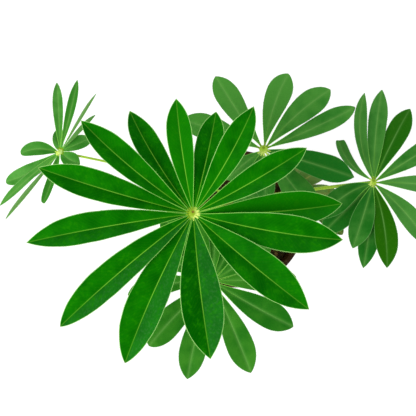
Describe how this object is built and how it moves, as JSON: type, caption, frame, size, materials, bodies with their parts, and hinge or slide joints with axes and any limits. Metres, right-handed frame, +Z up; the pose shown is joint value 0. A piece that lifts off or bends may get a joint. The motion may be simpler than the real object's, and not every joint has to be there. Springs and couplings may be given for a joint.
{
  "type": "potted lupin plant",
  "caption": "Young lupin plant with palmate leaves on long stalks, growing from a short crown in a round plastic nursery pot filled with soil.",
  "frame": {"origin": "middle of the pot's flat base", "axes": "+Z up, out of the pot; +X and +Y level, +X towards the leaf that stands out furthest to the right of the pot"},
  "size_m": [0.3461, 0.234, 0.2767],
  "materials": {
    "pot_plastic": "satin",
    "soil": "matte",
    "young_stem": "satin",
    "leaf_bright": "satin",
    "leaf_soft": "satin",
    "leaf_pale": "satin",
    "leaf_olive": "matte"
  },
  "bodies": {
    "root": {"pot": "pot_plastic", "soil": "soil", "crown": "young_stem", "leaf_main": "leaf_bright", "leaf_upper": "leaf_soft", "leaf_right": "leaf_soft", "leaf_lower": "leaf_soft", "leaf_left": "leaf_pale", "leaf_old": "leaf_olive"}
  },
  "joints": []
}
